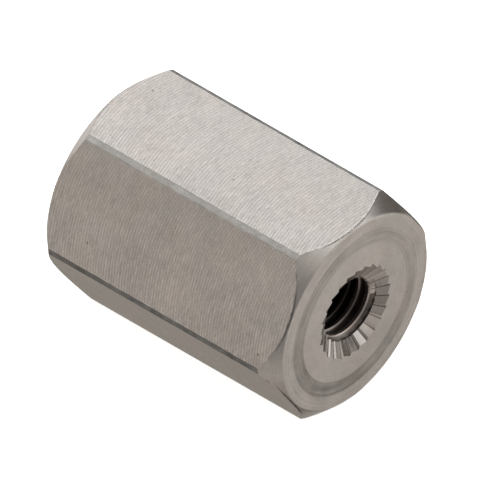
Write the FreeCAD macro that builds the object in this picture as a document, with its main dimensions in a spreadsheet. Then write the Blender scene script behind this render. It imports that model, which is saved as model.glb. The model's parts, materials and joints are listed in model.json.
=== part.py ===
import FreeCAD, Part
import os
import math
import Sketcher

# Female hex coupling, turned in one piece from hexagonal stainless bar.
# Frame: X along the bore, Z up, origin at the middle of the part.
# It lies on one flat, with two corners of the hexagon at +Y and -Y.

SIZES = {
    "across_flats": 14.0,
    "across_corners": 15.92,
    "overall_length": 19.6,
    "stock_margin": 3.0,
    "face_diameter": 13.7,
    "face_edge_radius": 0.35,
    "disc_diameter": 9.8,
    "relief_diameter": 11.8,
    "relief_depth": 0.06,
    "sink_diameter": 6.3,
    "sink_angle": 118.0,
    "minor_diameter": 4.2,
    "major_diameter": 5.0,
    "thread_pitch": 0.8,
    "thread_lead": 0.55,
    "thread_depth": 5.0,
    "thread_overrun": 0.1,
    "flute_count": 25.0,
    "flute_radius": 0.6,
    "flute_depth": 0.09,
    "flute_overrun": 0.25,
}
START, END, ORIGIN = 1, 2, -1
ENDS = {"front": "", "rear": "-"}

os.makedirs("parts", exist_ok=True)
doc = FreeCAD.newDocument("hex_coupling")
sheet = doc.addObject("Spreadsheet::Sheet", "sizes")
for row, (alias, value) in enumerate(SIZES.items(), start=1):
    sheet.set(f"A{row}", alias)
    sheet.set(f"B{row}", str(value))
    sheet.setAlias(f"B{row}", alias)
doc.recompute()

HALF_LENGTH = "sizes.overall_length / 2"
FACE_RADIUS = "sizes.face_diameter / 2"
CORNER_RADIUS = "sizes.across_corners / 2"
CORNER_DEPTH = f"({CORNER_RADIUS} - {FACE_RADIUS})"
STOCK_RADIUS = f"{CORNER_RADIUS} + sizes.stock_margin"
BORE_RADIUS = "sizes.minor_diameter / 2"
SINK_RADIUS = "sizes.sink_diameter / 2"
SINK_FLANK = "(sizes.sink_angle / 2 * 1 deg)"
SINK_DEPTH = f"(({SINK_RADIUS} - {BORE_RADIUS}) / tan({SINK_FLANK}))"
ROOT_RADIUS = "sizes.major_diameter / 2"
GROOVE_START = f"({HALF_LENGTH} + sizes.thread_lead)"
GROOVE_INSIDE = f"({BORE_RADIUS} - sizes.thread_overrun)"
ROOT_HALF_WIDTH = "(sizes.thread_pitch / 16)"
INSIDE_HALF_WIDTH = f"({ROOT_HALF_WIDTH} + ({ROOT_RADIUS} - {GROOVE_INSIDE}) * tan(30 deg))"


def origin_feature(body, role):
    """One of the body's own origin planes or axes."""
    return next(f for f in body.Origin.OriginFeatures if f.Role == role)


def new_sketch(body, name, plane):
    """An empty sketch on one of the body's origin planes."""
    sketch = body.newObject("Sketcher::SketchObject", name)
    sketch.AttachmentSupport = [(origin_feature(body, plane), "")]
    sketch.MapMode = "FlatFace"
    return sketch


def outline(sketch, corners):
    """A closed outline; each corner is two formulas, for its places along the sketch's axes."""
    rough = [FreeCAD.Vector(n, n * n, 0) for n in range(len(corners))]
    first = sketch.GeometryCount
    for n, start in enumerate(rough):
        sketch.addGeometry(Part.LineSegment(start, rough[(n + 1) % len(rough)]), False)
    for n in range(len(corners)):
        after = first + (n + 1) % len(corners)
        sketch.addConstraint(Sketcher.Constraint("Coincident", first + n, END, after, START))
    for n, corner in enumerate(corners):
        for kind, formula in zip(("DistanceX", "DistanceY"), corner):
            place = Sketcher.Constraint(kind, ORIGIN, START, first + n, START, 1.0)
            sketch.setExpression(f"Constraints[{sketch.addConstraint(place)}]", formula)


def hexagon_bar(body):
    """The bar: a hexagon along X with flats at the top and bottom."""
    sketch = new_sketch(body, "hexagon", "YZ_Plane")
    radius = "sizes.across_flats / sqrt(3)"
    outline(sketch, [(f"{radius} * cos({turn} deg)", f"{radius} * sin({turn} deg)")
                     for turn in range(0, 360, 60)])
    bar = body.newObject("PartDesign::Pad", "bar")
    bar.Profile = sketch
    bar.Midplane = True
    bar.setExpression("Length", "sizes.overall_length")
    return bar


def turned_cut(body, name, outlines):
    """Metal taken away all round the bore axis, drawn in the upright plane."""
    sketch = new_sketch(body, name + "_outline", "XZ_Plane")
    for corners in outlines:
        outline(sketch, corners)
    cut = body.newObject("PartDesign::Groove", name)
    cut.Profile = sketch
    cut.ReferenceAxis = (origin_feature(body, "X_Axis"), [""])
    cut.Angle = 360.0
    return cut


def end_chamfers(body):
    """A 45 degree cone at each end, and the corners of the hexagon turned just under size."""
    return turned_cut(body, "end_chamfers", [[
        (HALF_LENGTH, FACE_RADIUS),
        (f"{HALF_LENGTH} - {CORNER_DEPTH}", CORNER_RADIUS),
        (f"-({HALF_LENGTH} - {CORNER_DEPTH})", CORNER_RADIUS),
        (f"-{HALF_LENGTH}", FACE_RADIUS),
        (f"-{HALF_LENGTH}", STOCK_RADIUS),
        (HALF_LENGTH, STOCK_RADIUS),
    ]])


def rounded_face_edges(body, chamfers):
    """The edge between each end face and its cone, rounded by the tool's nose."""
    doc.recompute()
    radius = SIZES["face_diameter"] / 2
    rims = [f"Edge{n}" for n, edge in enumerate(chamfers.Shape.Edges, start=1)
            if isinstance(edge.Curve, Part.Circle) and abs(edge.Curve.Radius - radius) < 1e-6]
    rounding = body.newObject("PartDesign::Fillet", "rounded_face_edges")
    rounding.Base = (chamfers, rims)
    rounding.setExpression("Radius", "sizes.face_edge_radius")
    return rounding


def face_reliefs(body):
    """A shallow ring turned into each end face, round the flat disc that the bore opens in."""
    inner, outer = "sizes.disc_diameter / 2", "sizes.relief_diameter / 2"
    floor = f"({HALF_LENGTH} - sizes.relief_depth)"
    return turned_cut(body, "face_reliefs", [[
        (f"{side}({HALF_LENGTH})", inner),
        (f"{side}({HALF_LENGTH})", outer),
        (f"{side}{floor}", outer),
        (f"{side}{floor}", inner),
    ] for side in ENDS.values()])


def bore(body):
    """The hole at the thread's minor diameter, countersunk at both mouths."""
    return turned_cut(body, "bore", [[
        (f"-({HALF_LENGTH})", "0"),
        (f"-({HALF_LENGTH})", SINK_RADIUS),
        (f"-({HALF_LENGTH} - {SINK_DEPTH})", BORE_RADIUS),
        (f"{HALF_LENGTH} - {SINK_DEPTH}", BORE_RADIUS),
        (HALF_LENGTH, SINK_RADIUS),
        (HALF_LENGTH, "0"),
    ]])


def sink_flutes(body, end, side):
    """Shallow scallops round one countersink, cut by round-nosed strokes along its cone."""
    first = body.newObject("PartDesign::SubtractiveCylinder", end + "_flute")
    lift = "(sizes.flute_radius - sizes.flute_depth)"
    slant = f"(({SINK_RADIUS} - {BORE_RADIUS}) / sin({SINK_FLANK}))"
    along = (f"{side}({HALF_LENGTH} - {SINK_DEPTH} - sizes.flute_overrun * cos({SINK_FLANK})"
             f" + {lift} * sin({SINK_FLANK}))")
    out = f"{BORE_RADIUS} - sizes.flute_overrun * sin({SINK_FLANK}) - {lift} * cos({SINK_FLANK})"
    first.setExpression("Radius", "sizes.flute_radius")
    first.setExpression("Height", f"{slant} + 2 * sizes.flute_overrun")
    turn = math.copysign(90.0 - SIZES["sink_angle"] / 2, -1.0 if side else 1.0)
    lean = FreeCAD.Rotation(FreeCAD.Vector(0, 1, 0), turn)
    first.Placement = FreeCAD.Placement(FreeCAD.Vector(), lean)
    first.setExpression("Placement.Base.x", along)
    first.setExpression("Placement.Base.z", out)
    ring = body.newObject("PartDesign::PolarPattern", end + "_flutes")
    ring.Originals = [first]
    ring.Axis = (origin_feature(body, "X_Axis"), [""])
    ring.Angle = 360.0
    ring.setExpression("Occurrences", "sizes.flute_count")
    body.Tip = ring
    return ring


def right_hand_thread(body, end, side):
    """A metric groove wound into one mouth of the bore, as deep as a screw needs to go."""
    sketch = new_sketch(body, end + "_thread_outline", "XZ_Plane")
    outline(sketch, [(f"{side}({GROOVE_START}) {step} {half_width}", radius) for step, half_width, radius in (
        ("-", INSIDE_HALF_WIDTH, GROOVE_INSIDE),
        ("-", ROOT_HALF_WIDTH, ROOT_RADIUS),
        ("+", ROOT_HALF_WIDTH, ROOT_RADIUS),
        ("+", INSIDE_HALF_WIDTH, GROOVE_INSIDE),
    )])
    thread = body.newObject("PartDesign::SubtractiveHelix", end + "_thread")
    thread.Profile = sketch
    thread.ReferenceAxis = (origin_feature(body, "X_Axis"), [""])
    thread.Mode = "pitch-height-angle"
    thread.LeftHanded = False
    thread.Reversed = not side
    thread.setExpression("Pitch", "sizes.thread_pitch")
    thread.setExpression("Height", "sizes.thread_depth + sizes.thread_lead")
    return thread


def must_shrink(name, before, after):
    """Stops the build if a cut took nothing away."""
    if not after < before - 1e-3:
        raise RuntimeError(f"{name} removed nothing: {before:.3f} to {after:.3f} mm3")


hex_body = doc.addObject("PartDesign::Body", "hex_body")
hex_body.Label = "hex_body"
bar = hexagon_bar(hex_body)
chamfers = end_chamfers(hex_body)
steps = [bar, chamfers, rounded_face_edges(hex_body, chamfers), face_reliefs(hex_body), bore(hex_body)]
steps += [sink_flutes(hex_body, end, side) for end, side in ENDS.items()]
steps += [right_hand_thread(hex_body, end, side) for end, side in ENDS.items()]
hex_body.Placement = FreeCAD.Placement()
doc.recompute()

for item in doc.Objects:
    if "Invalid" in item.State or "Error" in item.State:
        raise RuntimeError(f"{item.Label} failed: {item.State}")
for before, after in zip(steps, steps[1:]):
    must_shrink(after.Name, before.Shape.Volume, after.Shape.Volume)
for piece in [hex_body]:
    if piece.Shape.isNull() or not piece.Shape.isValid():
        raise RuntimeError(f"{piece.Label} has no valid shape")
    piece.Shape.exportStep(f"parts/{piece.Label}.step")
    print(piece.Label, round(piece.Shape.Volume, 2), "mm3", len(piece.Shape.Solids), "solid")
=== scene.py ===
import bmesh
import bpy
import json
import math
from mathutils import Matrix, Vector


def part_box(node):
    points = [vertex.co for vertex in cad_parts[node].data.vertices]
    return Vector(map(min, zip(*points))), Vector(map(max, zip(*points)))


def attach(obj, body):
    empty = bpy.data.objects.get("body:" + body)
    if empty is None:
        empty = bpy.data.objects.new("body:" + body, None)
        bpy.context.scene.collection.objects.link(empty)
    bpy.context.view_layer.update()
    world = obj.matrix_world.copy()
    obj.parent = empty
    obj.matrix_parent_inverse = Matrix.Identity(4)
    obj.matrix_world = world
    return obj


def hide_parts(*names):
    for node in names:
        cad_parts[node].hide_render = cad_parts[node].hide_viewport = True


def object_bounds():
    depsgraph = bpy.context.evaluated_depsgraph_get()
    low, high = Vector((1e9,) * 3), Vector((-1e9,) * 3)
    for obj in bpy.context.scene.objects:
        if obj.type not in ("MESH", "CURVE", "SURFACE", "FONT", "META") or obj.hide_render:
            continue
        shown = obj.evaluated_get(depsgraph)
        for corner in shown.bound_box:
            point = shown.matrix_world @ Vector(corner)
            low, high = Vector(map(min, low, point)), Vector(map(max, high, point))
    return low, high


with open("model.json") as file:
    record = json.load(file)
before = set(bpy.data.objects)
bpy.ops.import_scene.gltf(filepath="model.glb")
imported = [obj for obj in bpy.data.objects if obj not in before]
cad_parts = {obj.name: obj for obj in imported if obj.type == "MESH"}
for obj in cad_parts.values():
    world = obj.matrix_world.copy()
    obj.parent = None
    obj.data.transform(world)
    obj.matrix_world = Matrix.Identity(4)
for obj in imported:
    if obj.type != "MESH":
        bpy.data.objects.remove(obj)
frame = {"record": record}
cad_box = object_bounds()

# ---------------------------------------------------------------- sizes, in metres

MM = 0.001
LOW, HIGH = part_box("hex_body")
HALF_LENGTH = HIGH.x
FLAT_HALF = HIGH.z
CORNER_RADIUS = HIGH.y
CORNER_HALF_ANGLE = math.pi / 6 - math.acos(FLAT_HALF / CORNER_RADIUS)
CHAMFER = 1.11 * MM
FACE_RADIUS = CORNER_RADIUS - CHAMFER
FACE_ROUNDING = 0.35 * MM
NOSE = FACE_ROUNDING * math.tan(math.pi / 8)
RELIEF_OUTER = 5.9 * MM
RELIEF_INNER = 4.9 * MM
RELIEF_DEPTH = 0.06 * MM
RELIEF_EDGE = 0.11 * MM
SINK_RADIUS = 3.15 * MM
SINK_FLANK = math.radians(59.0)
BORE_RADIUS = frame["record"]["mounts"][0]["dims"]["r_mm"] * MM
THREAD_PITCH = 0.8 * MM
THREAD_ROOT = 2.5 * MM
THREAD_FLANK = math.radians(30)
THREAD_DEPTH = 5.0 * MM
THREAD_LEAD = 0.55 * MM
THREAD_INSIDE = BORE_RADIUS - 0.15 * MM
FLUTE_COUNT = 25
FLUTE_DEPTH = 0.10 * MM
FLUTE_CREST = 0.80
FLUTE_HOLLOW = 1.3
FLUTE_PHASE = math.radians(2.6)
FLUTE_SEED = 7.0
LEAST_BITE, BITE_SPREAD = 0.75, 0.5
FLUTE_NUDGE = 1e-4

# Where the blank's lines and rings lie, as shares of a flute or of a zone, or in metres. The
# guards are rings close beside an edge, which keep the smooth shading off it.
FLUTE_STEPS = (0.0, 0.15, 0.3, 0.45, 0.6, 0.7, 0.80, 0.90)
FLAT_SHARES = tuple(share / 10 for share in range(-9, 10))
CONE_SHARES = (0.75, 0.5, 0.25, 0.1, 0.0)
SINK_SHARES = (0.0, 0.04, 0.25, 0.5, 0.75, 0.96, 1.0)
BORE_SHARES = (0.99, 0.9, 0.7, 0.4, 0.0, -0.4, -0.7, -0.9, -0.99)
ROUNDING_STEPS = 6
EDGE_BREAK = 0.025 * MM
EDGE_GUARD = 0.12 * MM
FACE_GUARD = 0.1 * MM
STEP_GUARD = 0.2 * MM
MOUTH_GUARD = 0.35 * MM
DISC_RING = 4.2 * MM
COIL_STEPS_PER_TURN = 72
SHARP_ANGLE = math.radians(18.0)
SAME_ANGLE = 1e-5
SAME_POINT = 1e-8

# How a face's zone is told from its normal and its place.
SIDE_LEAN = 0.02
END_LEAN = 0.98
FLAT_LEAN = math.radians(15)
SINK_REACH = 0.7 * MM
SINK_MARGIN = 0.2 * MM
BORE_MARGIN = 0.01 * MM

CONE, FLAT, TURNED, SINK, BORE, CORNER = range(6)
SIZES = {
    "Half Length": HALF_LENGTH, "Flat Half": FLAT_HALF, "Corner Radius": CORNER_RADIUS,
    "Face Radius": FACE_RADIUS, "Sink Radius": SINK_RADIUS, "Bore Radius": BORE_RADIUS,
    "Flute Count": FLUTE_COUNT, "Flute Depth": FLUTE_DEPTH, "Seed": FLUTE_SEED,
}


# ---------------------------------------------------------------- node trees for the shape

class Formula:
    """A number in a node tree. Sums written with it add Math nodes to the tree."""

    def __init__(self, tree, socket):
        self.tree = tree
        self.socket = socket

    def node(self, operation, *others):
        made = self.tree.nodes.new("ShaderNodeMath")
        made.operation = operation
        for slot, value in zip(made.inputs, (self, *others)):
            if isinstance(value, Formula):
                self.tree.links.new(value.socket, slot)
            else:
                slot.default_value = value
        return Formula(self.tree, made.outputs[0])

    def __add__(self, other):
        return self.node("ADD", other)

    def __sub__(self, other):
        return self.node("SUBTRACT", other)

    def __mul__(self, other):
        return self.node("MULTIPLY", other)

    def __truediv__(self, other):
        return self.node("DIVIDE", other)

    def towards(self, other, share):
        return self + (other - self) * share

    def equals(self, number):
        return self.node("COMPARE", float(number), 0.5)


def new_tree(name, numbers, materials):
    """A Geometry Nodes tree with named inputs: a mesh, sizes and materials."""
    tree = bpy.data.node_groups.new(name, "GeometryNodeTree")
    kinds = [("Mesh", "NodeSocketGeometry")]
    kinds += [(label, "NodeSocketFloat") for label in numbers]
    kinds += [(label, "NodeSocketMaterial") for label in materials]
    for label, kind in kinds:
        tree.interface.new_socket(name=label, in_out="INPUT", socket_type=kind)
    tree.interface.new_socket(name="Mesh", in_out="OUTPUT", socket_type="NodeSocketGeometry")
    return tree, tree.nodes.new("NodeGroupInput")


def stored(tree, name):
    """A number kept on the blank's points."""
    made = tree.nodes.new("GeometryNodeInputNamedAttribute")
    made.data_type = "FLOAT"
    made.inputs["Name"].default_value = name
    return Formula(tree, made.outputs[0])


def put_points(tree, mesh, selection, along, out, turn):
    """Moves the selected points: along X, out from it, and round it."""
    place = tree.nodes.new("ShaderNodeCombineXYZ")
    for slot, value in zip(place.inputs, (along, out * turn.node("COSINE"), out * turn.node("SINE"))):
        tree.links.new(value.socket, slot)
    move = tree.nodes.new("GeometryNodeSetPosition")
    tree.links.new(mesh, move.inputs["Geometry"])
    if selection is not None:
        tree.links.new(selection.socket, move.inputs["Selection"])
    tree.links.new(place.outputs[0], move.inputs["Position"])
    return move.outputs[0]


def end_tree(tree, mesh, given, label):
    """Ends a tree: instances made real, then the material named by the input."""
    real = tree.nodes.new("GeometryNodeRealizeInstances")
    paint = tree.nodes.new("GeometryNodeSetMaterial")
    end = tree.nodes.new("NodeGroupOutput")
    tree.links.new(mesh, real.inputs[0])
    tree.links.new(real.outputs[0], paint.inputs["Geometry"])
    tree.links.new(given.outputs[label], paint.inputs["Material"])
    tree.links.new(paint.outputs[0], end.inputs[0])


def bend_from_flat(turn):
    """The angle between a point's direction and the middle of the nearest flat."""
    return (turn - math.pi / 3).node("FLOORED_MODULO", math.pi / 3) - math.pi / 6


def flute_place(turn, count):
    """How many flutes lie before an angle; the nudge keeps a flute's own first line in it."""
    return (turn - FLUTE_PHASE) * count / math.tau + FLUTE_NUDGE


def flute_cut(tree, turn, count, depth, seed):
    """How deep the chattering sink cutter bites at each angle: slow rises, sharp drops."""
    place = flute_place(turn, count)
    share = place.node("FRACT")
    rise = (share / FLUTE_CREST).node("POWER", FLUTE_HOLLOW)
    drop = (share * -1.0 + 1.0) / (1.0 - FLUTE_CREST)
    chance = tree.nodes.new("ShaderNodeTexWhiteNoise")
    chance.noise_dimensions = "1D"
    tree.links.new((place.node("FLOOR") + seed).socket, chance.inputs["W"])
    bite = Formula(tree, chance.outputs["Value"]) * BITE_SPREAD + LEAST_BITE
    return rise.node("MINIMUM", drop).node("MAXIMUM", 0.0) * bite * depth


def machining_tree():
    """Turns the blank's rings into the hexagon, its end cones, the fluted sinks and the bore."""
    tree, given = new_tree("machining", SIZES, ("Metal",))
    size = {label: Formula(tree, given.outputs[label]) for label in SIZES}
    zone, side, share, offset, turn = (stored(tree, n) for n in ("zone", "side", "share", "offset", "turn"))
    face_edge = size["Face Radius"] + NOSE * math.sqrt(0.5)
    skin = (size["Flat Half"] / bend_from_flat(turn).node("COSINE")).node("MINIMUM", size["Corner Radius"])
    shoulder = size["Half Length"] - (skin - size["Face Radius"])
    mesh = given.outputs["Mesh"]

    out = face_edge.towards(skin - offset, share)
    along = (size["Half Length"] - (out - size["Face Radius"])) * side
    mesh = put_points(tree, mesh, zone.equals(CONE), along, out, turn)

    mesh = put_points(tree, mesh, zone.equals(FLAT), (shoulder - offset) * share, skin, turn)

    bite = flute_cut(tree, turn, size["Flute Count"], size["Flute Depth"], size["Seed"])
    mouth = size["Sink Radius"] + bite / math.cos(SINK_FLANK)
    out = mouth.towards(size["Bore Radius"], share)
    along = (size["Half Length"] - (mouth - out) / math.tan(SINK_FLANK)) * side
    mesh = put_points(tree, mesh, zone.equals(SINK), along, out, turn)

    floor = size["Half Length"] - (mouth - size["Bore Radius"]) / math.tan(SINK_FLANK)
    mesh = put_points(tree, mesh, zone.equals(BORE), floor * share, size["Bore Radius"], turn)
    end_tree(tree, mesh, given, "Metal")
    return tree


def coil_tree():
    """Winds a straight blank into a right-hand coil that starts outside one mouth of the bore."""
    tree, given = new_tree("thread winding", ("Start", "Side", "Pitch"), ("Metal",))
    start, side, pitch = (Formula(tree, given.outputs[n]) for n in ("Start", "Side", "Pitch"))
    wound, offset, out = (stored(tree, n) for n in ("turn", "offset", "share"))
    along = (start - wound / math.tau * pitch) * side + offset
    turn = wound * side * -1.0 + math.pi / 2
    mesh = put_points(tree, given.outputs["Mesh"], None, along, out, turn)
    end_tree(tree, mesh, given, "Metal")
    return tree


def run_tree(obj, tree, values):
    """Puts a tree on an object, with each named input set by its socket's identifier."""
    modifier = obj.modifiers.new(tree.name, "NODES")
    modifier.node_group = tree
    names = {item.name: item.identifier for item in tree.interface.items_tree if item.in_out == "INPUT"}
    for label, value in values.items():
        modifier[names[label]] = value


def plain_mesh(obj, name):
    """The object's evaluated shape as a plain mesh object, with the first object removed."""
    evaluated = obj.evaluated_get(bpy.context.evaluated_depsgraph_get())
    mesh = bpy.data.meshes.new_from_object(evaluated)
    mesh.name = name
    bpy.data.objects.remove(obj)
    return add_object(name, mesh)


def add_object(name, data):
    """A new object in the scene, at the origin."""
    made = bpy.data.objects.new(name, data)
    bpy.context.scene.collection.objects.link(made)
    return made


# ---------------------------------------------------------------- the machined body

def flute_and_corner_angles():
    """The angles of the blank's lines: along each flute, and along each corner of the hexagon."""
    turns = [math.tau * (k + step) / FLUTE_COUNT + FLUTE_PHASE
             for k in range(FLUTE_COUNT) for step in FLUTE_STEPS]
    turns += [math.radians(60 * k) + lean * CORNER_HALF_ANGLE for k in range(6) for lean in (-1, 0, 1)]
    turns = sorted(turn % math.tau for turn in turns)
    return [turn for n, turn in enumerate(turns) if n == 0 or turn - turns[n - 1] > SAME_ANGLE]


def end_rings(side):
    """The rings of one end, from the hexagon's edge in to the bore: zone, share, offset, along, out."""
    rings = [(CONE, 1.0, EDGE_BREAK, 0, 0), (CONE, 1.0, EDGE_GUARD, 0, 0)]
    rings += [(CONE, share, 0, 0, 0) for share in CONE_SHARES]
    for step in range(1, ROUNDING_STEPS + 1):
        lean = math.radians(45 - 45 / ROUNDING_STEPS * step)
        along = HALF_LENGTH - FACE_ROUNDING * (1 - math.cos(lean))
        rings.append((TURNED, 0, 0, along, FACE_RADIUS - NOSE + FACE_ROUNDING * math.sin(lean)))
    floor = HALF_LENGTH - RELIEF_DEPTH
    rings += [(TURNED, 0, 0, *place) for place in (
        (HALF_LENGTH, FACE_RADIUS - NOSE - FACE_GUARD),
        (HALF_LENGTH, RELIEF_OUTER + STEP_GUARD),
        (HALF_LENGTH, RELIEF_OUTER + RELIEF_EDGE),
        (floor, RELIEF_OUTER - RELIEF_EDGE),
        (floor, RELIEF_OUTER - STEP_GUARD),
        (floor, RELIEF_INNER + STEP_GUARD),
        (floor, RELIEF_INNER + RELIEF_EDGE),
        (HALF_LENGTH, RELIEF_INNER - RELIEF_EDGE),
        (HALF_LENGTH, RELIEF_INNER - STEP_GUARD),
        (HALF_LENGTH, DISC_RING),
        (HALF_LENGTH, SINK_RADIUS + MOUTH_GUARD),
    )]
    rings += [(SINK, share, 0, 0, 0) for share in SINK_SHARES]
    return [(zone, share, offset, along * side, out, side) for zone, share, offset, along, out in rings]


def blank_rings():
    """Every ring of the blank, once round its section: flats, front end, bore, rear end."""
    flats = [(FLAT, -1.0, EDGE_BREAK), (FLAT, -1.0, EDGE_GUARD)]
    flats += [(FLAT, share, 0.0) for share in FLAT_SHARES]
    flats += [(FLAT, 1.0, EDGE_GUARD), (FLAT, 1.0, EDGE_BREAK)]
    bore = [(BORE, share, 0.0) for share in BORE_SHARES]
    rings = [(*ring, 0.0, 0.0, 1.0) for ring in flats]
    rings += end_rings(1.0)
    rings += [(*ring, 0.0, 0.0, 1.0) for ring in bore]
    rings += reversed(end_rings(-1.0))
    return rings


def grid_blank(name, rows, columns, closed, values):
    """A tube of rows by columns, with the numbers that its node tree reads on each point."""
    mesh = bpy.data.meshes.new(name)
    places = values.pop("place")
    points = [(along, out * math.cos(turn), out * math.sin(turn)) for along, out, turn in places]
    faces = []
    for row in range(rows):
        for column in range(columns if closed else columns - 1):
            after, beside = (row + 1) % rows, (column + 1) % columns
            faces.append([row * columns + column, row * columns + beside,
                          after * columns + beside, after * columns + column])
    if not closed:
        faces.append([row * columns for row in range(rows)])
        faces.append([row * columns + columns - 1 for row in reversed(range(rows))])
    mesh.from_pydata(points, [], faces)
    for label, numbers in values.items():
        mesh.attributes.new(label, "FLOAT", "POINT").data.foreach_set("value", numbers)
    return add_object(name, mesh)


def bar_blank():
    """The closed blank that machining_tree turns into the body."""
    rings, turns = blank_rings(), flute_and_corner_angles()
    points = [(ring, turn) for ring in rings for turn in turns]
    return grid_blank("bar_blank", len(rings), len(turns), True, {
        "place": [(ring[3], ring[4], turn) for ring, turn in points],
        "zone": [float(ring[0]) for ring, turn in points],
        "share": [ring[1] for ring, turn in points],
        "offset": [ring[2] for ring, turn in points],
        "side": [ring[5] for ring, turn in points],
        "turn": [turn for ring, turn in points],
    })


def thread_cutter(name, side, tree, metal):
    """A closed coil with the thread's section, wound into one mouth of the bore.

    Its root is an eighth of the pitch wide, and its open side lies inside the bore's wall.
    """
    root_half = THREAD_PITCH / 16
    inside_half = root_half + (THREAD_ROOT - THREAD_INSIDE) * math.tan(THREAD_FLANK)
    section = [(-inside_half, THREAD_INSIDE), (-root_half, THREAD_ROOT),
               (root_half, THREAD_ROOT), (inside_half, THREAD_INSIDE)]
    steps = round((THREAD_DEPTH + THREAD_LEAD) / THREAD_PITCH * COIL_STEPS_PER_TURN)
    turns = [math.tau * step / COIL_STEPS_PER_TURN for step in range(steps)]
    points = [(corner, wound) for corner in section for wound in turns]
    coil = grid_blank(name, len(section), steps, False, {
        "place": [(wound * THREAD_PITCH, out, offset / THREAD_PITCH) for (offset, out), wound in points],
        "offset": [offset for (offset, out), wound in points],
        "share": [out for (offset, out), wound in points],
        "turn": [wound for corner, wound in points],
    })
    run_tree(coil, tree, {"Start": HALF_LENGTH + THREAD_LEAD, "Side": side,
                          "Pitch": THREAD_PITCH, "Metal": metal})
    coil = plain_mesh(coil, name)
    face_outwards(coil.data)
    return coil


def face_outwards(mesh):
    """Joins doubled points and turns every face outwards."""
    edit = bmesh.new()
    edit.from_mesh(mesh)
    bmesh.ops.remove_doubles(edit, verts=edit.verts, dist=SAME_POINT)
    bmesh.ops.recalc_face_normals(edit, faces=edit.faces)
    edit.to_mesh(mesh)
    edit.free()


def cut_threads(body, cutters):
    """Cuts each coil out of the body."""
    for cutter in cutters:
        cut = body.modifiers.new("cut", "BOOLEAN")
        cut.operation = "DIFFERENCE"
        cut.solver = "EXACT"
        cut.object = cutter
    body = plain_mesh(body, "machined_hex_body")
    for cutter in cutters:
        bpy.data.objects.remove(cutter)
    return body


def zone_of(centre, normal):
    """Which finish a face has, from where it is and which way it faces."""
    out = math.hypot(centre.y, centre.z)
    if abs(normal.x) < SIDE_LEAN and out > FACE_RADIUS:
        off = (math.atan2(normal.z, normal.y) + math.pi / 3) % (math.pi / 3) - math.pi / 6
        return FLAT if abs(off) < FLAT_LEAN else CORNER
    near_end = abs(centre.x) > HALF_LENGTH - SINK_REACH
    if near_end and BORE_RADIUS - BORE_MARGIN < out < SINK_RADIUS + SINK_MARGIN:
        return SINK if abs(normal.x) < END_LEAN else TURNED
    if out < SINK_RADIUS:
        return BORE
    return TURNED


def tool_path_place(zone, point, middle):
    """A point's place on its metal's map, lengths in millimetres.

    Flats and corner strips: along the bar, and across it from the middle of the flat or strip.
    All others: distance from the axis, and angle round it. The middle is the face's own angle.
    """
    if zone == FLAT:
        facing = round((middle - math.pi / 2) / (math.pi / 3)) * math.pi / 3 + math.pi / 2
        return point.x / MM, (point.z * math.cos(facing) - point.y * math.sin(facing)) / MM
    turn = math.atan2(point.z, point.y)
    turn += math.tau * round((middle - turn) / math.tau)
    if zone == CORNER:
        from_corner = (turn / (math.pi / 3) + 0.5) % 1.0 - 0.5
        return point.x / MM, from_corner * math.pi / 3 * CORNER_RADIUS / MM
    return math.hypot(point.y, point.z) / MM, turn


def finish_faces(body, metals):
    """Gives each face its metal and its corners their places on the metal's map."""
    mesh = body.data
    mesh.materials.clear()
    for metal in metals.values():
        mesh.materials.append(metal)
    slots = list(metals)
    chart = mesh.uv_layers.new(name="tool_path")
    for face in mesh.polygons:
        zone = zone_of(face.center, face.normal)
        face.material_index = slots.index(zone)
        middle = math.atan2(face.center.z, face.center.y)
        for corner in face.loop_indices:
            point = mesh.vertices[mesh.loops[corner].vertex_index].co
            chart.data[corner].uv = tool_path_place(zone, point, middle)
    mesh.shade_smooth()
    mesh.set_sharp_from_angle(angle=SHARP_ANGLE)


def machined_body(metals):
    """The whole body: the blank machined to the hexagon, then tapped from both ends."""
    body = bar_blank()
    run_tree(body, machining_tree(), {**SIZES, "Metal": metals[FLAT]})
    body = plain_mesh(body, "machined_hex_body")
    face_outwards(body.data)
    winding = coil_tree()
    cutters = [thread_cutter(f"tap_{name}", side, winding, metals[BORE])
               for name, side in (("front", 1.0), ("rear", -1.0))]
    body = cut_threads(body, cutters)
    finish_faces(body, metals)
    return body


# ---------------------------------------------------------------- metals

# Lengths here are in millimetres, as on the tool-path map. The face's edge is where its rounding
# begins, and far out is past every corner.
FLAT_EDGE = math.sqrt(CORNER_RADIUS ** 2 - FLAT_HALF ** 2) / MM
STRIP_HALF = CORNER_HALF_ANGLE * CORNER_RADIUS / MM
FACE_EDGE = FACE_RADIUS / MM - 0.1
FAR_OUT = 12.0
MILL_RADIUS = 11.8
MILL_FEED = 0.215
LEAD_WANDER = 0.3

# The trailing arcs, against the leading ones: flatter, a little wider apart, and less steady.
TRAIL_SAG = 0.8
TRAIL_FEED = 1.06
TRAIL_WANDER = 0.4

# How fast the dashes in the arcs change over the flat, and where the crossing dashes' noise starts.
ARC_DRIFT = 3.0
CROSS_SEED = 5.0

# The side of the relief groove where the most shade is painted, with painted light on the far side: its Y
# and Z direction.
PAINTED_SHADE_SIDE = (-0.745, -0.667)

DARKEST = 0.04
HUE_GRAIN = (380.0, 2.0)
HUE_SHIFT = (0.035, 0.0, -0.015)
PIT_SCALE = 330.0
PIT_RIM, PIT_FLOOR = 0.030, 0.018

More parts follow.
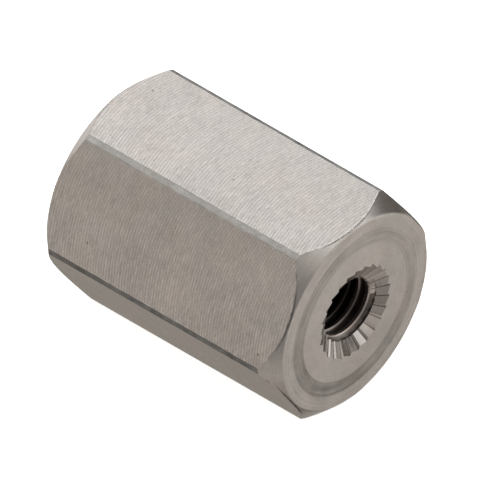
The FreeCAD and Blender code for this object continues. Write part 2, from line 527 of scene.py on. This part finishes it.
# A metal's colour and roughness, and then its marks. Its relief, in metres, is how deep they look.
# grains: scale per metre and detail, over the object's own coordinates.
# path grains: how far each number is stretched, then scale and detail, over the tool-path map.
# bands: start, end, blur, and how far a noise makes the edges ragged.
# All other rows add up marks by weight, from the amount named all over.
METAL_LOOKS = {
    "milled_flats": {
        "colour": (0.62, 0.60, 0.58),
        "roughness": 0.36,
        "relief": 0.005 * MM,
        "grains": {"wander": (260.0, 2.0), "broad": (110.0, 2.0), "patch": (520.0, 4.0),
                   "fine": (8500.0, 2.0), "ragged": (1800.0, 3.0)},
        "path grains": {"dashes": ((1.0, 0.9, 1.0), 1.5, 4.0),
                        "cross dashes": ((1.0, 1.1, 1.0), 1.4, 4.0)},
        "bands": {"edge": (FLAT_EDGE - 0.06, FLAT_EDGE + 0.2, 0.03, 0.05)},
        "ripple": {"all over": 0.55, "dashes": 0.8},
        "marks": {"ripple": 0.7, "dashes": 0.75, "cross dashes": 0.75},
        "tint": {"all over": 1.0, "marks": 0.27, "marks across the flat": 0.015, "patch": 0.16,
                 "broad": 0.09, "fine": 0.24, "burr": 0.5, "along": -0.003, "pits": -0.5},
        "rough": {"all over": 0.36, "patch": 0.05, "dashes": 0.05},
        "height": {"marks": 1.0, "fine": 0.4, "pits": -3.0},
    },
    "turned_ends": {
        "colour": (0.675, 0.665, 0.645),
        "roughness": 0.34,
        "relief": 0.004 * MM,
        "grains": {"blotches": (480.0, 4.0), "fine": (7500.0, 2.0), "stipple": (1500.0, 3.0),
                   "ragged": (1800.0, 3.0)},
        "path grains": {"fine rings": ((1.0, 0.16, 0.16), 7.0, 4.0),
                        "broad rings": ((0.5, 0.5, 0.5), 4.0, 3.0)},
        "bands": {"groove": (RELIEF_INNER / MM, RELIEF_OUTER / MM, 0.06, 0.03),
                  "cone": (FACE_EDGE, FAR_OUT, 0.05, 0.0),
                  "rim": (RELIEF_OUTER / MM, FACE_EDGE, 0.05, 0.0),
                  "flat edge": (-0.2, 0.06, 0.03, 0.05)},
        "fine ring strength": {"all over": 0.2, "groove": 1.1, "rim": 0.8, "cone": 0.5},
        "broad ring strength": {"all over": 0.1, "groove": 0.7, "rim": 0.4},
        "tint": {"all over": 1.0, "marks": 0.24, "blotches": 0.17, "stipple": 0.10, "fine": 0.16,
                 "burr": 0.9, "painted light rising up the face": 0.014, "groove": -0.23, "groove's painted shade side": -0.11,
                 "pits": -0.4},
        "rough": {"all over": 0.34, "groove": 0.08, "blotches": 0.05},
        "height": {"marks": 1.0, "fine": 0.3},
    },
    "cut_sink": {
        "colour": (0.64, 0.61, 0.59),
        "roughness": 0.27,
        "relief": 0.003 * MM,
        "grains": {},
        "path grains": {"scratches": ((5.0, 2.5), 1.6, 3.0), "flutes": ((0.2, 3.7), 1.0, 1.0)},
        # Painted shade: a dark line along each flute just before its drop, where the steep side lies in
        # shade.
        "bands": {"torn": (FLUTE_CREST - 0.065, FLUTE_CREST + 0.04, 0.02, 0.0),
                  # Painted shade: a dark ring where the sink meets the bore.
                  "mouth of the bore": (0.0, BORE_RADIUS / MM + 0.08, 0.04, 0.1)},
        # The share weight is painted shading: each flute lighter across its width towards its drop.
        "tint": {"all over": 0.882, "scratches": 0.12, "flutes": 0.35, "share": 0.22, "torn": -0.68,
                 "mouth of the bore": -0.45},
        "rough": {"all over": 0.27, "flutes": 0.08},
        "height": {"scratches": 1.0},
    },
    "tapped_bore": {
        "colour": (0.62, 0.565, 0.53),
        "roughness": 0.34,
        "relief": 0.004 * MM,
        "grains": {"stain": (900.0, 3.0)},
        "path grains": {"lines": ((14.0, 0.3), 1.2, 2.0)},
        # Painted shade: the groove band darkens the thread grooves, and the deep band darkens the bore
        # further in from its mouth.
        "bands": {"groove": (BORE_RADIUS / MM + 0.10, 4.0, 0.04, 0.03), "deep": (-1.0, 7.95, 0.18, 0.1)},
        "tint": {"all over": 1.12, "stain": 0.15, "lines": 0.32, "groove": -0.76},
        "shade": {"all over": 1.0, "deep": -0.72},
        "rough": {"all over": 0.34, "stain": 0.08},
        "height": {"lines": 1.0},
    },
    "drawn_corners": {
        "colour": (0.655, 0.675, 0.675),
        "roughness": 0.46,
        "relief": 0.005 * MM,
        "grains": {"ragged": (2600.0, 3.0), "blotches": (900.0, 3.0)},
        "path grains": {"draw lines": ((0.5, 9.0), 2.0, 3.0)},
        "bands": {"edge": (STRIP_HALF - 0.03, STRIP_HALF + 0.5, 0.03, 0.14)},
        "tint": {"all over": 0.97, "draw lines": 0.08, "blotches": 0.35, "ragged": 0.30, "edge": -0.30},
        "rough": {"all over": 0.46, "blotches": 0.08},
        "height": {"draw lines": 1.0, "ragged": 0.6},
    },
}


def grain(tree, place, scale, detail):
    """Noise from -1 to 1 at a place given by two or three numbers, or at the object's coordinates."""
    noise = tree.nodes.new("ShaderNodeTexNoise")
    noise.inputs["Scale"].default_value = scale
    noise.inputs["Detail"].default_value = detail
    if place is None:
        spot = tree.nodes.new("ShaderNodeTexCoord").outputs["Object"]
    else:
        join = tree.nodes.new("ShaderNodeCombineXYZ")
        for slot, value in zip(join.inputs, place):
            tree.links.new(value.socket, slot)
        spot = join.outputs[0]
    tree.links.new(spot, noise.inputs["Vector"])
    return (Formula(tree, noise.outputs[0]) - 0.5) * 2.0


def band(tree, value, low, high, blur):
    """1 where a number lies between two limits, with soft edges."""
    ramps = []
    for start, end in ((low - blur, low + blur), (high + blur, high - blur)):
        ramp = tree.nodes.new("ShaderNodeMapRange")
        ramp.interpolation_type = "SMOOTHSTEP"
        ramp.inputs["From Min"].default_value = start
        ramp.inputs["From Max"].default_value = end
        tree.links.new(value.socket, ramp.inputs["Value"])
        ramps.append(Formula(tree, ramp.outputs["Result"]))
    return ramps[0] * ramps[1]


def colour_mix(tree):
    """A Mix node for colours, and its sockets: factor, the two colours, and the result."""
    mix = tree.nodes.new("ShaderNodeMix")
    mix.data_type = "RGBA"
    return mix, mix.inputs["Factor"], mix.inputs[6], mix.inputs[7], mix.outputs[2]


class Metal:
    """A metal being made from its row of METAL_LOOKS, with its marks so far by name."""

    def __init__(self, name):
        self.look = METAL_LOOKS[name]
        self.made = bpy.data.materials.new(name)
        self.made.use_nodes = True
        self.tree = self.made.node_tree
        self.shader = self.tree.nodes["Principled BSDF"]
        self.shader.inputs["Metallic"].default_value = 1.0
        self.shader.inputs["Base Color"].default_value = (*self.look["colour"], 1.0)
        self.shader.inputs["Roughness"].default_value = self.look["roughness"]
        chart = self.tree.nodes.new("ShaderNodeUVMap")
        chart.uv_map = "tool_path"
        split = self.tree.nodes.new("ShaderNodeSeparateXYZ")
        self.tree.links.new(chart.outputs["UV"], split.inputs[0])
        self.path = Formula(self.tree, split.outputs[0]), Formula(self.tree, split.outputs[1])
        self.marks = {mark: grain(self.tree, None, *size) for mark, size in self.look["grains"].items()}

    def add_grain(self, name, *place):
        """Adds noise over numbers read from the tool-path map."""
        stretch, scale, detail = self.look["path grains"][name]
        place = [number * by for number, by in zip(place, stretch)]
        self.marks[name] = grain(self.tree, place, scale, detail)

    def add_band(self, name, value, noise=None):
        """Adds a band, its edges made ragged by a noise."""
        low, high, blur, rag = self.look["bands"][name]
        if noise is not None:
            value = value + self.marks[noise] * rag
        self.marks[name] = band(self.tree, value, low, high, blur)

    def total(self, row):
        """The marks of one row of the look, each times its weight, added to the amount all over."""
        weights = dict(self.look[row])
        base = weights.pop("all over", 0.0)
        (first, weight), *others = weights.items()
        total = self.marks[first] * weight
        for name, weight in others:
            total = total + self.marks[name] * weight
        return total + base

    def finish(self):
        """Wires the tint that multiplies the colour, the roughness, and the marks' height."""
        tint = self.total("tint")
        # A look's shade row is painted shade, multiplied into the tint.
        if "shade" in self.look:
            tint = tint * self.total("shade")
        tint = tint.node("MAXIMUM", DARKEST)
        mix, factor, colour, shift, result = colour_mix(self.tree)
        mix.blend_type = "MULTIPLY"
        factor.default_value = 1.0
        colour.default_value = (*self.look["colour"], 1.0)
        grey = self.tree.nodes.new("ShaderNodeCombineColor")
        hue = grain(self.tree, None, *HUE_GRAIN)
        for slot, warmth in zip(grey.inputs, HUE_SHIFT):
            self.tree.links.new((tint + hue * warmth).socket, slot)
        self.tree.links.new(grey.outputs[0], shift)
        self.tree.links.new(result, self.shader.inputs["Base Color"])
        self.tree.links.new(self.total("rough").socket, self.shader.inputs["Roughness"])
        bump = self.tree.nodes.new("ShaderNodeBump")
        bump.inputs["Strength"].default_value = 1.0
        bump.inputs["Distance"].default_value = self.look["relief"]
        self.tree.links.new(self.total("height").socket, bump.inputs["Height"])
        self.tree.links.new(bump.outputs[0], self.shader.inputs["Normal"])
        return self.made


def pits(tree):
    """A few tiny pits, 1 inside each."""
    cells = tree.nodes.new("ShaderNodeTexVoronoi")
    cells.inputs["Scale"].default_value = PIT_SCALE
    spot = tree.nodes.new("ShaderNodeTexCoord")
    tree.links.new(spot.outputs["Object"], cells.inputs["Vector"])
    near = tree.nodes.new("ShaderNodeMapRange")
    near.inputs["From Min"].default_value = PIT_RIM
    near.inputs["From Max"].default_value = PIT_FLOOR
    tree.links.new(cells.outputs["Distance"], near.inputs["Value"])
    return Formula(tree, near.outputs["Result"])


def milled_metal():
    """Flats with the arcs that a face mill leaves, crossed by its fainter trailing arcs."""
    metal = Metal("milled_flats")
    (along, across), marks = metal.path, metal.marks
    sag = across * across / (2 * MILL_RADIUS)
    lead = (along - sag) / MILL_FEED + marks["wander"] * LEAD_WANDER
    trail = (along + sag * TRAIL_SAG) / (MILL_FEED * TRAIL_FEED) + marks["wander"] * TRAIL_WANDER
    drift = marks["broad"] * ARC_DRIFT
    metal.add_grain("dashes", lead, across, drift)
    metal.add_grain("cross dashes", trail, across, drift + CROSS_SEED)
    marks["ripple"] = (lead * math.tau).node("SINE") * metal.total("ripple")
    marks["marks"] = metal.total("marks")
    marks["marks across the flat"] = marks["marks"] * across
    metal.add_band("edge", across.node("ABSOLUTE"), "ragged")
    marks["burr"] = marks["edge"] * marks["ragged"]
    marks["along"] = along
    marks["pits"] = pits(metal.tree)
    return metal.finish()


def turned_metal():
    """End faces and cones with fine turned rings; the relief groove is cut rougher and looks darker, with
    painted shade on one side of it and painted light on the other, and painted light rises up the face.
    """
    metal = Metal("turned_ends")
    (out, turn), marks = metal.path, metal.marks
    toward_y, toward_z = turn.node("COSINE"), turn.node("SINE")
    metal.add_grain("fine rings", out, toward_y, toward_z)
    metal.add_grain("broad rings", out, toward_y, toward_z)
    metal.add_band("groove", out, "stipple")
    metal.add_band("cone", out)
    metal.add_band("rim", out)
    fine_rings = marks["fine rings"] * metal.total("fine ring strength")
    broad_rings = marks["broad rings"] * metal.total("broad ring strength")
    marks["marks"] = fine_rings + broad_rings
    inside_flat = (bend_from_flat(turn).node("COSINE") * out - FLAT_HALF / MM) * -1.0
    metal.add_band("flat edge", inside_flat, "ragged")
    marks["burr"] = marks["cone"] * marks["flat edge"] * marks["ragged"]
    # Painted light: the turned faces lighter towards the top and darker towards the bottom.
    marks["painted light rising up the face"] = out * toward_z
    # Painted shade and light: one side of the groove darker, the other lighter, as if lit from one side.
    shaded = toward_y * PAINTED_SHADE_SIDE[0] + toward_z * PAINTED_SHADE_SIDE[1]
    marks["groove's painted shade side"] = marks["groove"] * shaded
    marks["pits"] = pits(metal.tree)
    return metal.finish()


def sink_metal():
    """The countersink: smooth along each flute, with painted shading that grows lighter across each flute,
    a painted shade line where each flute drops, and painted shade round the mouth of the bore.
    """
    metal = Metal("cut_sink")
    (out, turn), marks = metal.path, metal.marks
    place = flute_place(turn, FLUTE_COUNT)
    # Painted shading across each flute, read from its share.
    marks["share"] = place.node("FRACT")
    # Painted shade line where each flute drops.
    metal.add_band("torn", marks["share"])
    metal.add_grain("scratches", out, turn)
    metal.add_grain("flutes", out, place.node("FLOOR"))
    # Painted shade round the mouth of the bore.
    metal.add_band("mouth of the bore", out, "scratches")
    return metal.finish()


def bore_metal():
    """The tapped bore: bright along the crests, with painted shade down the thread grooves and painted
    shade that deepens further into the bore.
    """
    metal = Metal("tapped_bore")
    out, turn = metal.path
    metal.add_grain("lines", out, turn)
    # Painted shade down the thread grooves, and deeper in the bore.
    metal.add_band("groove", out, "stain")
    spot = metal.tree.nodes.new("ShaderNodeSeparateXYZ")
    own = metal.tree.nodes.new("ShaderNodeTexCoord")
    metal.tree.links.new(own.outputs["Object"], spot.inputs[0])
    from_middle = Formula(metal.tree, spot.outputs[0]).node("ABSOLUTE") / MM
    metal.add_band("deep", from_middle, "stain")
    return metal.finish()


def corner_metal():
    """The narrow strips of drawn bar left along the hexagon's corners: greyer, with ragged edges."""
    metal = Metal("drawn_corners")
    along, across = metal.path
    metal.add_grain("draw lines", along, across)
    metal.add_band("edge", across.node("ABSOLUTE"), "ragged")
    return metal.finish()


# ---------------------------------------------------------------- studio

VIEW_AZIMUTH = math.radians(42.31)
VIEW_ELEVATION = math.radians(43.06)
VIEW_ROLL = math.radians(-1.98)
VIEW_DISTANCE = 0.3
VIEW_NEAR, VIEW_FAR = 0.001, 10.0
FRAME_WIDTH = 30.30 * MM
FRAME_SHIFT = (0.357 * MM, 0.107 * MM)

FLOOR_REACH = 0.5
FLOOR_GAP = 0.02 * MM
PAPER_WHITE = 0.9
PAPER_ROUGHNESS = 0.9
PAPER_GLOW = 0.75
LAMP_SIZE = 1.2
LAMP_POWER = 2.6
LAMP_PLACE = (0.0, 0.05, 0.5)

# The room's own tone, then its light and dark patches: direction, the angle in degrees of full
# strength, the angle where it has faded out, and colour. Later patches cover earlier ones.
ROOM = (0.505, 0.460, 0.420)
STUDIO_PATCHES = (
    ((0.10, 0.60, 0.75), 38, 60, (1.06, 1.03, 1.01)),
    ((0.75, 0.66, 0.04), 7, 18, (1.02, 0.99, 0.96)),
    ((-0.82, 0.44, -0.37), 4, 12, (0.95, 0.92, 0.90)),
    ((0.82, -0.55, 0.02), 20, 48, (0.20, 0.185, 0.175)),
    ((0.20, -0.09, -0.975), 10, 32, (0.30, 0.265, 0.24)),
    ((0.05, 0.22, -0.97), 4, 15, (0.12, 0.105, 0.095)),
    ((-0.53, 0.28, -0.80), 4, 13, (0.37, 0.335, 0.29)),
    ((-0.49, -0.54, -0.68), 16, 34, (0.06, 0.054, 0.05)),
    ((0.33, 0.94, 0.05), 15, 27, (0.085, 0.068, 0.055)),
    ((0.13, 0.96, -0.23), 3, 12, (0.02, 0.018, 0.016)),
    ((-0.49, 0.86, -0.13), 13, 32, (0.02, 0.02, 0.02)),
)


def make_camera():
    """A long view from the front right, tipped a little, that looks into the front mouth."""
    data = bpy.data.cameras.new("camera")
    data.type = "ORTHO"
    data.ortho_scale = FRAME_WIDTH
    data.clip_start = VIEW_NEAR
    data.clip_end = VIEW_FAR
    cam = add_object("camera", data)
    back = Vector((
        math.sin(VIEW_AZIMUTH) * math.cos(VIEW_ELEVATION),
        -math.cos(VIEW_AZIMUTH) * math.cos(VIEW_ELEVATION),
        math.sin(VIEW_ELEVATION),
    ))
    turn = back.to_track_quat("Z", "Y").to_matrix() @ Matrix.Rotation(VIEW_ROLL, 3, "Z")
    centre = (cad_box[0] + cad_box[1]) / 2
    place = centre + back * VIEW_DISTANCE + turn.col[0] * FRAME_SHIFT[0] + turn.col[1] * FRAME_SHIFT[1]
    cam.matrix_world = Matrix.Translation(place) @ turn.to_4x4()
    bpy.context.scene.camera = cam


def glow(tree, direction, full, faded):
    """1 towards a direction, falling to 0 between two angles away from it."""
    place = tree.nodes.new("ShaderNodeTexCoord")
    unit = tree.nodes.new("ShaderNodeVectorMath")
    unit.operation = "NORMALIZE"
    tree.links.new(place.outputs["Generated"], unit.inputs[0])
    facing = tree.nodes.new("ShaderNodeVectorMath")
    facing.operation = "DOT_PRODUCT"
    tree.links.new(unit.outputs[0], facing.inputs[0])
    facing.inputs[1].default_value = Vector(direction).normalized()
    ramp = tree.nodes.new("ShaderNodeMapRange")
    ramp.interpolation_type = "SMOOTHSTEP"
    ramp.inputs["From Min"].default_value = math.cos(math.radians(faded))
    ramp.inputs["From Max"].default_value = math.cos(math.radians(full))
    tree.links.new(facing.outputs["Value"], ramp.inputs["Value"])
    return ramp.outputs["Result"]


def make_studio():
    """A warm grey room with its patches, which the metals reflect."""
    world = bpy.data.worlds.new("studio")
    world.use_nodes = True
    tree = world.node_tree
    colour = None
    for direction, full, faded, paint in STUDIO_PATCHES:
        mix, factor, before, after, result = colour_mix(tree)
        tree.links.new(glow(tree, direction, full, faded), factor)
        if colour is None:
            before.default_value = (*ROOM, 1.0)
        else:
            tree.links.new(colour, before)
        after.default_value = (*paint, 1.0)
        colour = result
    tree.links.new(colour, tree.nodes["Background"].inputs["Color"])
    bpy.context.scene.world = world
    bpy.context.scene.view_settings.view_transform = "Standard"


def make_floor():
    """White paper just under the lower flat. It glows a little, and no metal reflects it."""
    mesh = bpy.data.meshes.new("floor")
    reach, level = FLOOR_REACH, LOW.z - FLOOR_GAP
    mesh.from_pydata([(-reach, -reach, level), (reach, -reach, level), (reach, reach, level),
                      (-reach, reach, level)], [], [[0, 1, 2, 3]])
    floor = add_object("floor", mesh)
    paper = bpy.data.materials.new("floor_paper")
    paper.use_nodes = True
    shader = paper.node_tree.nodes["Principled BSDF"]
    shader.inputs["Base Color"].default_value = (PAPER_WHITE, PAPER_WHITE, PAPER_WHITE, 1.0)
    shader.inputs["Roughness"].default_value = PAPER_ROUGHNESS
    shader.inputs["Emission Color"].default_value = (1.0, 1.0, 1.0, 1.0)
    shader.inputs["Emission Strength"].default_value = PAPER_GLOW
    mesh.materials.append(paper)
    floor.visible_glossy = False


def make_lights():
    """One broad lamp overhead, which no metal reflects."""
    data = bpy.data.lights.new("overhead", "AREA")
    data.shape = "DISK"
    data.size = LAMP_SIZE
    data.energy = LAMP_POWER
    lamp = add_object("overhead", data)
    lamp.location = LAMP_PLACE
    lamp.visible_glossy = False


hex_body = machined_body({
    FLAT: milled_metal(),
    TURNED: turned_metal(),
    SINK: sink_metal(),
    BORE: bore_metal(),
    CORNER: corner_metal(),
})
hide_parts("hex_body")
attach(hex_body, "root")
make_camera()
make_studio()
make_floor()
make_lights()
